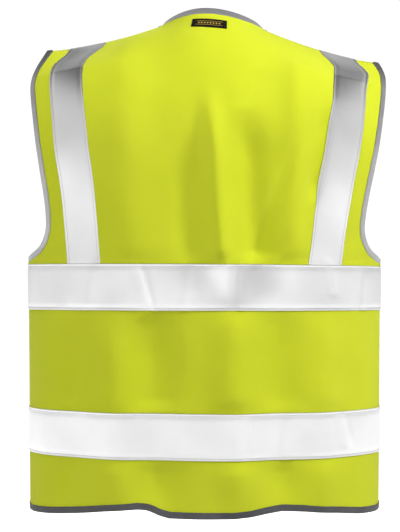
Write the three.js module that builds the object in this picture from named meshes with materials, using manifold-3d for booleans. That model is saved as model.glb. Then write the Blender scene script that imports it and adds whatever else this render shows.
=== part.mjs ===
// High visibility vest: sleeveless, two bands and two braces of reflective tape, zip front.
// Millimetres, +Z up. The origin lies midway between the neck points of the two shoulder
// seams. +Y is the back of the wearer and +X the wearer's left.
import * as THREE from 'three';
import * as BufferGeometryUtils from 'three/addons/utils/BufferGeometryUtils.js';
import Module from 'manifold-3d';

const wasm = await Module();
wasm.setup();

// ---- overall sizes ----
const CHEST_HALF_WIDTH = 241;
const HEM_HALF_WIDTH = 238;
const HALF_DEPTH = 130;
const BACK_LENGTH = 658;        // neck point down to the hem
const YOKE_DROP = 180;          // above this level the cloth rolls forward to the shoulder seam
const YOKE_FLARE = 29;          // extra half width that the yoke would have without armholes
const SHOULDER_TAPER = 0.08;    // share of the width lost between the yoke and the seam

// ---- shoulders and neck ----
const NECK_HALF_WIDTH = 68;
const NECK_RISE = 14;           // centre back of the neck above the neck points
const NECK_ARCH = 0.75;         // 0.5 is a half ellipse and 1 a parabola
const NECK_BACK_DEPTH = 55;     // centre back of the neck behind the shoulder seam
const NECK_ROLL = 55;           // degrees of roll that the cloth reaches at the centre back neck
const SHOULDER_HALF_WIDTH = CHEST_HALF_WIDTH - 13;
const SHOULDER_DROP = 41;
const SHOULDER_BOW = 1.5;
const V_NECK_DROP = 240;
const V_NECK_BOW = 0.85;

// ---- armholes: [level, distance inside the chest half width], from the shoulder down ----
const UNDERARM_DROP = 321;
const ARMHOLE_BACK = [[-55, 1], [-110, 2.5], [-200, 20], [-275, 31.5], [-305, 22]];
const ARMHOLE_FRONT = [[-55, 5], [-110, 10], [-200, 31], [-272, 42], [-305, 27]];
const UNDERARM_CURVE = 30;      // height over which the rows crowd towards the underarm

// ---- thicknesses and clearances ----
const CLOTH = 1.0;
const TAPE = 0.5;
const CLEARANCE = 0.3;
const BINDING_CLEARANCE = 0.4;
const BINDING_WIDTH = 7.5;
const BINDING_CLOTH = 0.6;

// ---- reflective tape: the chest band starts just below the underarm binding ----
const BAND_WIDTH = 60;
const CHEST_BAND_DROP = UNDERARM_DROP + BINDING_WIDTH + 0.5;
const WAIST_BAND_DROP = 521;
const BRACE_WIDTH = 50;
const BRACE_TOP = [[0, 174], [-55, 190], [-110, 189.5], [-165, 181], [-230, 169.5]];
const BRACE_CENTRE = [...BRACE_TOP, [-CHEST_BAND_DROP, 158]];

// ---- labels ----
const LABEL_WIDTH = 48;
const LABEL_DROP = 18;
const LABEL_HEIGHT = 15;
const SIZE_LABEL_HEIGHT = 30;
const CARE_LABEL = { cells: 2, height: 45, hemGap: 14 };

// ---- zip ----
const ZIP_OPENING = 6;          // each open chain's distance from the centre plane
const CHAIN = { width: 3.2, depth: 2.6 };
const ZIP_TAPE_REACH = 12;      // zip tape hidden behind the front panel
const PANEL_SETBACK = 2.8;      // front panel edge behind the chain
const ZIP_TOP_GAP = 10;
const STOP = { width: 4.2, height: 3, depth: 3.6 };
const BOX = { width: 6.4, height: 9, depth: 4.2 };
const PIN = { width: 2.4, height: 16, depth: 2 };
const SLIDER = { width: 9, height: 13, plate: 1, wedge: 2.2 };
const SLOT_CLEARANCE = 0.4;
const BRIDGE = { width: 3, height: 7, rise: 3.4, bar: 1.1 };
const PULLER = { width: 6, length: 27, thickness: 1.2, crossbar: 1.4, eye: 4.2, eyeDepth: 5.6 };

// ---- grid: cells between the lines that the cloth and its tapes share ----
const SHOULDER_CELLS = 3;
const FRONT_CELLS = 4;
const NECK_CELLS = 3;           // beside the label
const BRACE_CELLS = 2;
const ARMHOLE_CELLS = 6;
const YOKE_CELL = 17;
const UNDERARM_CELLS = 5;

const FRONT_EDGE = ZIP_OPENING + CHAIN.width + PANEL_SETBACK;
const QUARTER = Math.PI / 2;

// ---------------------------------------------------------------- the draped surface

const lerp = THREE.MathUtils.lerp;
const toVector = (p) => new THREE.Vector3(...p);

// Smooth curve through [level, value] points, level falling.
function through(points) {
  const slope = (i) => {
    const a = points[Math.max(i - 1, 0)];
    const b = points[Math.min(i + 1, points.length - 1)];
    return (b[1] - a[1]) / (b[0] - a[0]);
  };
  return (level) => {
    const last = points.length - 2;
    const next = points.findIndex((p) => level > p[0]);
    const i = next < 0 ? last : THREE.MathUtils.clamp(next - 1, 0, last);
    const [x0, y0] = points[i];
    const [x1, y1] = points[i + 1];
    const s = (level - x0) / (x1 - x0);
    const h = x1 - x0;
    return (
      (1 + 2 * s) * (1 - s) ** 2 * y0 + s * (1 - s) ** 2 * h * slope(i) +
      s * s * (3 - 2 * s) * y1 + s * s * (s - 1) * h * slope(i + 1)
    );
  };
}

// 0 at the yoke line and below, 1 at the shoulder seam.
const rollAt = (level) => Math.max(0, (level + YOKE_DROP) / YOKE_DROP);

// Half width that the cloth would have at a level if it had no armholes.
function fullHalfWidth(level) {
  if (level <= -UNDERARM_DROP) {
    const s = (-UNDERARM_DROP - level) / (BACK_LENGTH - UNDERARM_DROP);
    return lerp(CHEST_HALF_WIDTH, HEM_HALF_WIDTH, s);
  }
  const flare = YOKE_FLARE * THREE.MathUtils.smoothstep(level, -UNDERARM_DROP, -YOKE_DROP);
  const taper = SHOULDER_TAPER * Math.sin(QUARTER * rollAt(level)) ** 2;
  return (CHEST_HALF_WIDTH + flare) * (1 - taper);
}

const shoulderHeight = (x) => {
  const span = SHOULDER_HALF_WIDTH - NECK_HALF_WIDTH;
  const s = THREE.MathUtils.clamp((SHOULDER_HALF_WIDTH - x) / span, 0, 1);
  return -SHOULDER_DROP * (1 - s ** SHOULDER_BOW);
};

// Where the column at x ends: its height, its depth and the roll angle it reaches there.
function columnEnd(x, hasCollarRise) {
  const inside = Math.max(0, 1 - (x / NECK_HALF_WIDTH) ** 2);
  const arch = hasCollarRise ? inside ** NECK_ARCH : 0;
  return {
    height: shoulderHeight(x) + NECK_RISE * arch,
    depth: NECK_BACK_DEPTH * arch,
    roll: QUARTER - arch * (QUARTER - THREE.MathUtils.degToRad(NECK_ROLL)),
  };
}

// Point of the back (facing 1) or the front (facing -1) at a distance x from the centre.
function clothPoint(facing, x, level) {
  const sine = Math.min(x / fullHalfWidth(level), 1);
  const deep = HALF_DEPTH * Math.sqrt(1 - sine * sine);
  const seam = CLEARANCE;
  if (level <= -YOKE_DROP) return [x, facing * (deep + seam), level];
  const end = columnEnd(sine * fullHalfWidth(0), facing > 0);
  const roll = end.roll * rollAt(level);
  const forward = (Math.cos(roll) - Math.cos(end.roll)) / (1 - Math.cos(end.roll));
  const y = lerp(end.depth, deep, forward);
  const z = lerp(-YOKE_DROP, end.height, Math.sin(roll) / Math.sin(end.roll));
  return [x, facing * (y + seam), z];
}

// ---------------------------------------------------------------- shared grid lines

const armholeLine = (points) => through([
  [0, SHOULDER_HALF_WIDTH],
  ...points.map(([level, inset]) => [level, CHEST_HALF_WIDTH - inset]),
  [-UNDERARM_DROP, CHEST_HALF_WIDTH],
]);
const armholeBack = armholeLine(ARMHOLE_BACK);
const armholeFront = armholeLine(ARMHOLE_FRONT);
const braceCentre = through(BRACE_CENTRE);

function sideEdge(facing, level) {
  if (level <= -UNDERARM_DROP) return fullHalfWidth(level);
  return facing > 0 ? armholeBack(level) : armholeFront(level);
}

function frontEdge(level) {
  const s = Math.min(-level / V_NECK_DROP, 1);
  return lerp(FRONT_EDGE, NECK_HALF_WIDTH, (1 - s) ** V_NECK_BOW);
}

// Two edges of a brace, each half a tape width from its middle, measured along the cloth.
function braceEdges(level) {
  const top = Math.max(level, -CHEST_BAND_DROP);
  const wide = fullHalfWidth(top);
  const middle = Math.asin(braceCentre(top) / wide);
  const roll = Math.cos(QUARTER * rollAt(top));
  const stretch = Math.hypot(wide * Math.cos(middle), HALF_DEPTH * roll * Math.sin(middle));
  const half = BRACE_WIDTH / 2 / stretch;
  return [middle - half, middle + half].map((a) => fullHalfWidth(level) * Math.sin(a));
}

// Evenly spaced steps around the body between two distances from the centre.
function spaced(level, from, to, cells) {
  const wide = fullHalfWidth(level);
  const a = Math.asin(Math.min(from / wide, 1));
  const b = Math.asin(Math.min(to / wide, 1));
  return Array.from({ length: cells }, (_, k) => wide * Math.sin(lerp(a, b, (k + 1) / cells)));
}

// The columns above the back of the neck crowd towards the neck point, as its arch does.
function neckColumns() {
  const first = Math.asin(LABEL_WIDTH / 2 / NECK_HALF_WIDTH);
  const steps = Array.from({ length: NECK_CELLS }, (_, k) => (k + 1) / NECK_CELLS);
  return [0, LABEL_WIDTH / 2, ...steps.map((s) => NECK_HALF_WIDTH * Math.sin(lerp(first, QUARTER, s)))];
}

function columnsAt(facing, level) {
  const [inner, outer] = braceEdges(level);
  const start = facing > 0 ? neckColumns() : [frontEdge(level)];
  const cells = facing > 0 ? SHOULDER_CELLS : FRONT_CELLS;
  return [
    ...start,
    ...spaced(level, start.at(-1), inner, cells),
    ...spaced(level, inner, outer, BRACE_CELLS),
    ...spaced(level, outer, sideEdge(facing, level), ARMHOLE_CELLS),
  ];
}

function rowLevels() {
  const above = [0, -LABEL_DROP, -LABEL_DROP - LABEL_HEIGHT];
  const from = above.at(-1);
  const to = -UNDERARM_DROP + UNDERARM_CURVE;
  const cells = Math.round((from - to) / YOKE_CELL);
  for (let k = 1; k <= cells; k++) above.push(lerp(from, to, k / cells));
  for (let k = UNDERARM_CELLS - 1; k >= 0; k--) {
    above.push(-UNDERARM_DROP + UNDERARM_CURVE * (k / UNDERARM_CELLS) ** 2);
  }
  const bands = [CHEST_BAND_DROP, WAIST_BAND_DROP].flatMap((d) => [-d, -d - BAND_WIDTH]);
  return [...above, ...bands, -BACK_LENGTH];
}

const LEVELS = rowLevels();
const rowOf = (level) => LEVELS.indexOf(level);
const ROW = {
  label: 1,
  underarm: rowOf(-UNDERARM_DROP),
  chest: rowOf(-CHEST_BAND_DROP),
  waist: rowOf(-WAIST_BAND_DROP),
  hem: LEVELS.length - 1,
};

// Vertex normals of a grid of points, pointing away from the wearer.
function gridNormals(points, facing) {
  const at = (i, j) => points[i][j];
  const rows = points.length - 1;
  const columns = points[0].length - 1;
  return points.map((row, i) => row.map((p, j) => {
    const down = at(Math.min(i + 1, rows), j).clone().sub(at(Math.max(i - 1, 0), j));
    const across = at(i, Math.min(j + 1, columns)).clone().sub(at(i, Math.max(j - 1, 0)));
    const n = down.cross(across).normalize();
    if (n.y * facing < 0 || (Math.abs(n.y) < 1e-6 && n.x * p.x < 0)) n.negate();
    if (Math.abs(p.y) <= CLEARANCE + 1e-6) n.setY(0).normalize();
    return n;
  }));
}

function clothGrid(facing, sides) {
  const points = LEVELS.map((level) => {
    const half = columnsAt(facing, level).map((x) => toVector(clothPoint(facing, x, level)));
    const mirrored = half.map((p) => new THREE.Vector3(-p.x, p.y, p.z));
    if (sides === 'both') return [...mirrored.slice(1).reverse(), ...half];
    return sides === 'left' ? half : mirrored;
  });
  return { points, normals: gridNormals(points, facing) };
}

const backGrid = clothGrid(1, 'both');
const frontGrid = { left: clothGrid(-1, 'left'), right: clothGrid(-1, 'right') };
const HALF_COLUMNS = (backGrid.points[0].length - 1) / 2;
const FRONT_COLUMNS = frontGrid.left.points[0].length - 1;
const BRACE_COLUMN = { back: NECK_CELLS + 1 + SHOULDER_CELLS, front: FRONT_CELLS };

// ---------------------------------------------------------------- solids from the grid

function solidFrom(positions, triangles) {
  const geometry = new THREE.BufferGeometry();
  geometry.setAttribute('position', new THREE.Float32BufferAttribute(positions, 3));
  geometry.setIndex(volumeOf(positions, triangles) < 0 ? flipped(triangles) : triangles);
  geometry.computeVertexNormals();
  return geometry;
}

function volumeOf(positions, triangles) {
  const corner = (k) => new THREE.Vector3().fromArray(positions, 3 * triangles[k]);
  let volume = 0;
  for (let k = 0; k < triangles.length; k += 3) {
    volume += corner(k).dot(corner(k + 1).cross(corner(k + 2))) / 6;
  }
  return volume;
}

const flipped = (triangles) =>
  triangles.map((_, k) => triangles[k - (k % 3) + [0, 2, 1][k % 3]]);

const offsetPoint = (grid, i, j, offset) =>
  grid.points[i][j].clone().addScaledVector(grid.normals[i][j], offset);

// Closed sheet between two rows and two columns, from one offset to another.
function sheet(grid, [row0, row1], [column0, column1], [inner, outer]) {
  const rows = row1 - row0 + 1;
  const columns = column1 - column0 + 1;
  const corners = [];
  for (const offset of [inner, outer]) {
    for (let i = row0; i <= row1; i++) {
      for (let j = column0; j <= column1; j++) corners.push(offsetPoint(grid, i, j, offset));
    }
  }
  const index = (layer, i, j) => (layer * rows + i) * columns + j;
  const triangles = [];
  const quad = (a, b, c, d) => triangles.push(a, b, c, a, c, d);
  for (let i = 0; i + 1 < rows; i++) {
    for (let j = 0; j + 1 < columns; j++) {
      quad(index(0, i, j), index(0, i + 1, j), index(0, i + 1, j + 1), index(0, i, j + 1));
      quad(index(1, i, j), index(1, i, j + 1), index(1, i + 1, j + 1), index(1, i + 1, j));
    }
  }
  const wall = (i, j, k, l) => quad(index(0, i, j), index(0, k, l), index(1, k, l), index(1, i, j));
  for (let i = 0; i + 1 < rows; i++) {
    wall(i + 1, 0, i, 0);
    wall(i, columns - 1, i + 1, columns - 1);
  }
  for (let j = 0; j + 1 < columns; j++) {
    wall(0, j, 0, j + 1);
    wall(rows - 1, j + 1, rows - 1, j);
  }
  return solidFrom(corners.flatMap((p) => p.toArray()), triangles);
}

// Closed body through rings of points, each ring a strip of paired points that the caps close.
function sweep(rings) {
  const size = rings[0].length;
  const triangles = [];
  const quad = (a, b, c, d) => triangles.push(a, b, c, a, c, d);
  for (let i = 0; i + 1 < rings.length; i++) {
    for (let k = 0; k < size; k++) {
      const next = (k + 1) % size;
      quad(i * size + k, i * size + next, (i + 1) * size + next, (i + 1) * size + k);
    }
  }
  const cap = (start, turned) => {
    for (let k = 0; k + 1 < size / 2; k++) {
      const ring = [start + k, start + size - 1 - k, start + size - 2 - k, start + k + 1];
      quad(...(turned ? ring.reverse() : ring));
    }
  };
  cap(0, false);
  cap((rings.length - 1) * size, true);
  return solidFrom(rings.flat().flatMap((p) => p.toArray()), triangles);
}

// Folded binding over an edge of the cloth, kept clear of the panel that it holds. The edge is
// a list of [row, column] of the grid.
function binding(grid, edge, inward) {
  const at = edge.map(([i, j]) => grid.points[i][j]);
  const rings = edge.map(([i, j], k) => {
    const normal = grid.normals[i][j];
    const along = at[Math.min(k + 1, at.length - 1)].clone().sub(at[Math.max(k - 1, 0)]).normalize();
    if (Math.abs(at[k].y) <= CLEARANCE + 1e-6) along.set(0, 1, 0);
    const into = along.clone().cross(normal).normalize();
    if (into.dot(inward(at[k])) < 0) into.negate();
    const point = (depth, height) =>
      at[k].clone().addScaledVector(into, depth).addScaledVector(normal, height);
    const outside = CLOTH + BINDING_CLEARANCE;
    const fold = -BINDING_CLEARANCE;
    return [
      point(BINDING_WIDTH, outside + BINDING_CLOTH),
      point(fold - BINDING_CLOTH, outside + BINDING_CLOTH),
      point(fold - BINDING_CLOTH, fold - BINDING_CLOTH),
      point(BINDING_WIDTH, fold - BINDING_CLOTH),
      point(BINDING_WIDTH, fold),
      point(fold, fold),
      point(fold, outside),
      point(BINDING_WIDTH, outside),
    ];
  });
  const room = [-CLEARANCE, CLOTH + CLEARANCE];
  const held = toManifold(sheet(grid, [0, grid.points.length - 1], [0, grid.points[0].length - 1], room));
  const clearOf = (solid, side) => solid.subtract(held.translate([side * BINDING_CLEARANCE, 0, 0]));
  return largestPart([0, 1, -1].reduce(clearOf, toManifold(sweep(rings))));
}

// Two rows of points at given levels, inside the straight cells below one row of the grid.
function cut(grid, row, levels) {
  const [above, below] = [LEVELS[row], LEVELS[row + 1]];
  const points = levels.map((level) => grid.points[row].map((p, j) =>
    p.clone().lerp(grid.points[row + 1][j], (level - above) / (below - above))));
  return { points, normals: levels.map(() => grid.normals[row]) };
}

// Strip on the facets of one column of cells, between two distances across each cell.
function strip(grid, [row0, row1], [edge, next], [from, to], [inner, outer]) {
  const rings = [];
  for (let i = row0; i <= row1; i++) {
    const start = grid.points[i][edge];
    const across = grid.points[i][next].clone().sub(start).normalize();
    const normal = across.clone().cross(new THREE.Vector3(0, 0, 1));
    if (normal.dot(grid.normals[i][edge]) < 0) normal.negate();
    const point = (distance, offset) =>
      start.clone().addScaledVector(across, distance).addScaledVector(normal, offset);
    rings.push([point(from, inner), point(to, inner), point(to, outer), point(from, outer)]);
  }
  return rings;
}

const moveRing = (ring, z) => ring.map((p) => new THREE.Vector3(p.x, p.y, z));

// ---------------------------------------------------------------- small hard pieces

function box(width, depth, height, x, y, z) {
  return new THREE.BoxGeometry(width, depth, height).translate(x, y, z);
}

function toManifold(geometry) {
  const plain = geometry.clone();
  plain.deleteAttribute('normal');
  plain.deleteAttribute('uv');
  const merged = BufferGeometryUtils.mergeVertices(plain.index ? plain.toNonIndexed() : plain);
  const vertProperties = new Float32Array(merged.attributes.position.array);
  const triVerts = new Uint32Array(merged.index.array);
  return new wasm.Manifold(new wasm.Mesh({ numProp: 3, vertProperties, triVerts }));
}

const joined = (first, ...others) =>
  geometryOf(others.reduce((sum, next) => sum.add(toManifold(next)), toManifold(first)));

const largestPart = (solid) =>
  geometryOf(solid.decompose().sort((a, b) => b.volume() - a.volume())[0]);

function geometryOf(solid) {
  const mesh = solid.getMesh();
  const geometry = new THREE.BufferGeometry();
  geometry.setAttribute('position', new THREE.BufferAttribute(mesh.vertProperties, 3));
  geometry.setIndex(new THREE.BufferAttribute(mesh.triVerts, 1));
  geometry.computeVertexNormals();
  return geometry;
}

// ---------------------------------------------------------------- zip positions

const CHAIN_X = ZIP_OPENING + CHAIN.width / 2;
const CHAIN_Y = -(HALF_DEPTH + CLEARANCE) + CLEARANCE + TAPE / 2;
const CHAIN_TOP = -V_NECK_DROP - ZIP_TOP_GAP;
const BOX_BOTTOM = -BACK_LENGTH + BINDING_WIDTH + CLEARANCE * 2;
const CHAIN_BOTTOM = BOX_BOTTOM + BOX.height + CLEARANCE;
const SLIDER_BOTTOM = CHAIN_BOTTOM + CLEARANCE;
const PLATE_FACE = CHAIN.depth / 2 + SLOT_CLEARANCE;       // inner face of each slider plate
const SLIDER_FRONT = CHAIN_Y - PLATE_FACE - SLIDER.plate;
const BRIDGE_Z = SLIDER_BOTTOM + SLIDER.height - BRIDGE.height / 2 - SLOT_CLEARANCE;
const PIVOT_Y = SLIDER_FRONT - (BRIDGE.rise - BRIDGE.bar) / 2;     // middle of the gap under the bridge

function chain(side) {
  const middle = (CHAIN_TOP + CHAIN_BOTTOM) / 2;
  return box(CHAIN.width, CHAIN.depth, CHAIN_TOP - CHAIN_BOTTOM, side * CHAIN_X, CHAIN_Y, middle);
}

function zipTape(grid) {
  const start = -PANEL_SETBACK + CLEARANCE;
  const offsets = [-CLEARANCE - TAPE, -CLEARANCE];
  const rings = strip(grid, [ROW.hem - 1, ROW.hem], [0, 1], [start, ZIP_TAPE_REACH], offsets);
  return sweep([moveRing(rings[0], CHAIN_TOP), moveRing(rings[1], BOX_BOTTOM)]);
}

const topStop = (side) =>
  box(STOP.width, STOP.depth, STOP.height, side * CHAIN_X, CHAIN_Y, CHAIN_TOP + CLEARANCE + STOP.height / 2);

// The box holds the end of the left chain and takes the pin of the right one.
const retainerBox = () =>
  box(BOX.width, BOX.depth, BOX.height, ZIP_OPENING, CHAIN_Y, BOX_BOTTOM + BOX.height / 2);

const insertionPin = () =>
  box(PIN.width, PIN.depth, PIN.height, -CHAIN_X, CHAIN_Y, CHAIN_BOTTOM - CLEARANCE - PIN.height / 2);

// Two plates round the chain, with flanges that leave a slot for the zip tape.
function slider() {
  const middle = SLIDER_BOTTOM + SLIDER.height / 2;
  const plateY = PLATE_FACE + SLIDER.plate / 2;
  const tapeSlot = TAPE / 2 + SLOT_CLEARANCE;
  const flange = PLATE_FACE - tapeSlot;
  const flangeX = ZIP_OPENING + SLIDER.width / 2 - SLIDER.plate / 2;
  const pieces = [];
  for (const face of [-1, 1]) {
    const rim = (tapeSlot + flange / 2) * face;
    pieces.push(box(SLIDER.width, SLIDER.plate, SLIDER.height, ZIP_OPENING, CHAIN_Y + face * plateY, middle));
    pieces.push(box(SLIDER.plate, flange + SLIDER.plate, SLIDER.height, flangeX,
      CHAIN_Y + rim + face * SLIDER.plate / 2, middle));
  }
  const wedgeX = ZIP_OPENING - SLOT_CLEARANCE - SLIDER.wedge / 2;
  const top = SLIDER_BOTTOM + SLIDER.height * 3 / 4;
  pieces.push(box(SLIDER.wedge, 2 * PLATE_FACE + SLIDER.plate, SLIDER.height / 2, wedgeX, CHAIN_Y, top));
  return joined(...pieces, ...bridge());
}

// Loop on the front plate that the puller hangs from.
function bridge() {
  const reach = BRIDGE.rise + SLIDER.plate / 2;
  const legY = SLIDER_FRONT - BRIDGE.rise + reach / 2;
  const legZ = BRIDGE.height / 2 - BRIDGE.bar / 2;
  const legs = [-1, 1].map((end) =>
    box(BRIDGE.width, reach, BRIDGE.bar, ZIP_OPENING, legY, BRIDGE_Z + end * legZ));
  const barY = SLIDER_FRONT - BRIDGE.rise + BRIDGE.bar / 2;
  return [...legs, box(BRIDGE.width, BRIDGE.bar, BRIDGE.height, ZIP_OPENING, barY, BRIDGE_Z)];
}

// Tab whose eye goes round the bridge, with its crossbar on the pivot under the bridge.
function puller() {
  const half = PULLER.width / 2;
  const top = PULLER.crossbar / 2;
  const outline = new THREE.Shape();
  outline.moveTo(-half, top);
  outline.lineTo(-half, top - PULLER.length + half);
  outline.absarc(0, top - PULLER.length + half, half, Math.PI, 2 * Math.PI, false);
  outline.lineTo(half, top);
  const eye = new THREE.Path();
  const side = PULLER.eye / 2;
  eye.moveTo(-side, -PULLER.eyeDepth);
  eye.lineTo(-side, -top);
  eye.lineTo(side, -top);
  eye.lineTo(side, -PULLER.eyeDepth);
  outline.holes.push(eye);
  const tab = new THREE.ExtrudeGeometry(outline, {
    depth: PULLER.thickness,
    bevelEnabled: false,
    curveSegments: 8,
  });
  return tab.rotateX(QUARTER).translate(0, PULLER.thickness / 2, 0);
}

// ---------------------------------------------------------------- assembly

const FABRIC = { color: 0xc6da2a, roughness: 0.85, metalness: 0 };
const REFLECTIVE = { color: 0xd4d6d8, roughness: 0.45, metalness: 0.3 };
const BINDING = { color: 0x9a9a9c, roughness: 0.8, metalness: 0 };
const HEM = { color: 0x55565a, roughness: 0.8, metalness: 0 };
const LABEL = { color: 0x1a1714, roughness: 0.7, metalness: 0 };
const INNER_LABEL = { color: 0xf2f2f0, roughness: 0.7, metalness: 0 };
const ZIP_CLOTH = { color: 0x4a4b4f, roughness: 0.85, metalness: 0 };
const ZIP_PLASTIC = { color: 0x3c3d40, roughness: 0.4, metalness: 0 };
const ZIP_METAL = { color: 0x8d8f93, roughness: 0.35, metalness: 0.9 };

const vest = new THREE.Group();
const groups = {};
for (const name of ['back', 'front_left', 'front_right']) {
  groups[name] = new THREE.Group();
  vest.add(groups[name]);
}

function add(group, name, geometry, finish) {
  const mesh = new THREE.Mesh(geometry, new THREE.MeshStandardMaterial(finish));
  mesh.name = name;
  group.add(mesh);
  return mesh;
}

const PANEL_LAYER = [0, CLOTH];
const TAPE_LAYER = [CLOTH + CLEARANCE, CLOTH + CLEARANCE + TAPE];
const INNER_LAYER = [-CLEARANCE - TAPE, -CLEARANCE];
const rowRange = (from, to) => Array.from({ length: to - from + 1 }, (_, k) => from + k);

// The braces stop short of the chest band, by a clearance taken from their last cell.
function brace(grid, column) {
  const row = ROW.chest;
  const short = { points: [...grid.points], normals: grid.normals };
  short.points[row] = grid.points[row].map((p) => p.clone().setZ(p.z + CLEARANCE));
  return sheet(short, [0, row], [column, column + BRACE_CELLS], TAPE_LAYER);
}

function addBack() {
  const group = groups.back;
  const all = [0, 2 * HALF_COLUMNS];
  const edge = { left: 2 * HALF_COLUMNS, right: 0 };
  add(group, 'back_panel', sheet(backGrid, [0, ROW.hem], all, PANEL_LAYER), FABRIC);
  for (const [name, row] of [['chest', ROW.chest], ['waist', ROW.waist]]) {
    add(group, `${name}_band_back`, sheet(backGrid, [row, row + 1], all, TAPE_LAYER), REFLECTIVE);
  }
  const braceColumn = {
    left: HALF_COLUMNS + BRACE_COLUMN.back,
    right: HALF_COLUMNS - BRACE_COLUMN.back - BRACE_CELLS,
  };
  for (const side of ['left', 'right']) {
    add(group, `brace_back_${side}`, brace(backGrid, braceColumn[side]), REFLECTIVE);
    const path = rowRange(0, ROW.underarm).map((i) => [i, edge[side]]);
    const inward = (p) => new THREE.Vector3(-p.x, 0, -CHEST_HALF_WIDTH);
    add(group, `armhole_binding_back_${side}`, binding(backGrid, path, inward), BINDING);
  }
  const neckCells = NECK_CELLS + 1;
  const neck = rowRange(HALF_COLUMNS - neckCells, HALF_COLUMNS + neckCells).map((j) => [0, j]);
  const down = () => new THREE.Vector3(0, 0, -1);
  const up = () => new THREE.Vector3(0, 0, 1);
  add(group, 'neck_binding_back', binding(backGrid, neck, down), BINDING);
  const hem = rowRange(...all).map((j) => [ROW.hem, j]);
  add(group, 'hem_binding_back', binding(backGrid, hem, up), HEM);
  addLabels(group);
}

function addLabels(group) {
  const columns = [HALF_COLUMNS - 1, HALF_COLUMNS + 1];
  add(group, 'neck_label', sheet(backGrid, [ROW.label, ROW.label + 1], columns, TAPE_LAYER), LABEL);
  const rows = [ROW.label, ROW.label + Math.round(SIZE_LABEL_HEIGHT / YOKE_CELL)];
  add(group, 'size_label', sheet(backGrid, rows, columns, INNER_LAYER), INNER_LABEL);
  const foot = -BACK_LENGTH + CARE_LABEL.hemGap;
  const beside = cut(backGrid, ROW.hem - 1, [foot + CARE_LABEL.height, foot]);
  const seam = 2 * HALF_COLUMNS;
  add(group, 'care_label', sheet(beside, [0, 1], [seam - CARE_LABEL.cells, seam], INNER_LAYER), INNER_LABEL);
}

function addFront(side) {
  const group = groups[`front_${side}`];
  const grid = frontGrid[side];
  const sign = side === 'left' ? 1 : -1;
  const all = [0, FRONT_COLUMNS];
  add(group, `front_panel_${side}`, sheet(grid, [0, ROW.hem], all, PANEL_LAYER), FABRIC);
  for (const [name, row] of [['chest', ROW.chest], ['waist', ROW.waist]]) {
    add(group, `${name}_band_front_${side}`, sheet(grid, [row, row + 1], all, TAPE_LAYER), REFLECTIVE);
  }
  add(group, `brace_front_${side}`, brace(grid, BRACE_COLUMN.front), REFLECTIVE);
  const arm = rowRange(0, ROW.underarm).map((i) => [i, FRONT_COLUMNS]);
  const towards = (p) => new THREE.Vector3(-p.x, 0, -CHEST_HALF_WIDTH);
  add(group, `armhole_binding_front_${side}`, binding(grid, arm, towards), BINDING);
  const lastNeckRow = LEVELS.findIndex((level) => level < -V_NECK_DROP) - 1;
  const neck = rowRange(0, lastNeckRow).map((i) => [i, 0]);
  const outward = () => new THREE.Vector3(sign, 0, 0);
  add(group, `neck_binding_front_${side}`, binding(grid, neck, outward), BINDING);
  const hem = rowRange(...all).map((j) => [ROW.hem, j]);
  add(group, `hem_binding_front_${side}`, binding(grid, hem, () => new THREE.Vector3(0, 0, 1)), HEM);
  add(group, `zip_tape_${side}`, zipTape(grid), ZIP_CLOTH);
  add(group, `zip_chain_${side}`, chain(sign), ZIP_PLASTIC);
  add(group, `zip_top_stop_${side}`, topStop(sign), ZIP_PLASTIC);
}

function addZipEnds() {
  add(groups.front_left, 'zip_box', retainerBox(), ZIP_PLASTIC);
  add(groups.front_right, 'zip_pin', insertionPin(), ZIP_PLASTIC);
  add(groups.front_left, 'zip_slider', slider(), ZIP_METAL);
  const tab = add(groups.front_left, 'zip_puller', puller(), ZIP_METAL);
  tab.position.set(ZIP_OPENING, PIVOT_Y, BRIDGE_Z);
}

addBack();
addFront('left');
addFront('right');
addZipEnds();

export default vest;
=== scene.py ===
"""A high visibility vest, worn and unzipped: fluorescent knit, reflective tape, bound edges, zip front.

Metres, +Z up, +Y towards the wearer's back, +X towards the wearer's left.
"""
import math

import bpy
import numpy as np
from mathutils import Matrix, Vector


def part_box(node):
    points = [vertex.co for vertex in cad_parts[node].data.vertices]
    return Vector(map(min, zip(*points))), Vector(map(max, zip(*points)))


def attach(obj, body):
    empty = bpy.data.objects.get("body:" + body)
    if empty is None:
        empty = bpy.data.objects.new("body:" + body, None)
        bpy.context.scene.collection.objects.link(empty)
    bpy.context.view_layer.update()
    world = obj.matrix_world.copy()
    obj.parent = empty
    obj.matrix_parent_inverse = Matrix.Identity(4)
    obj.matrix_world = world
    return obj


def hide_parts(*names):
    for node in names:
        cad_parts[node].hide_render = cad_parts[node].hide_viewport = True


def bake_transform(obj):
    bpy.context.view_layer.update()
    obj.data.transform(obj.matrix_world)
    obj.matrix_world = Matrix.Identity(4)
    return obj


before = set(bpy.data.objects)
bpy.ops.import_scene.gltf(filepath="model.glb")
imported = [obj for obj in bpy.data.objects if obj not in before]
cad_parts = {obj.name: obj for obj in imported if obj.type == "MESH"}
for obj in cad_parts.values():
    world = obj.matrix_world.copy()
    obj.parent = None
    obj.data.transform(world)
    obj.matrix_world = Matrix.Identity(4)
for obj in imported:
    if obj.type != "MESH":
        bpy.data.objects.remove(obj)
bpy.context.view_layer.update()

MM = 0.001

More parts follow.
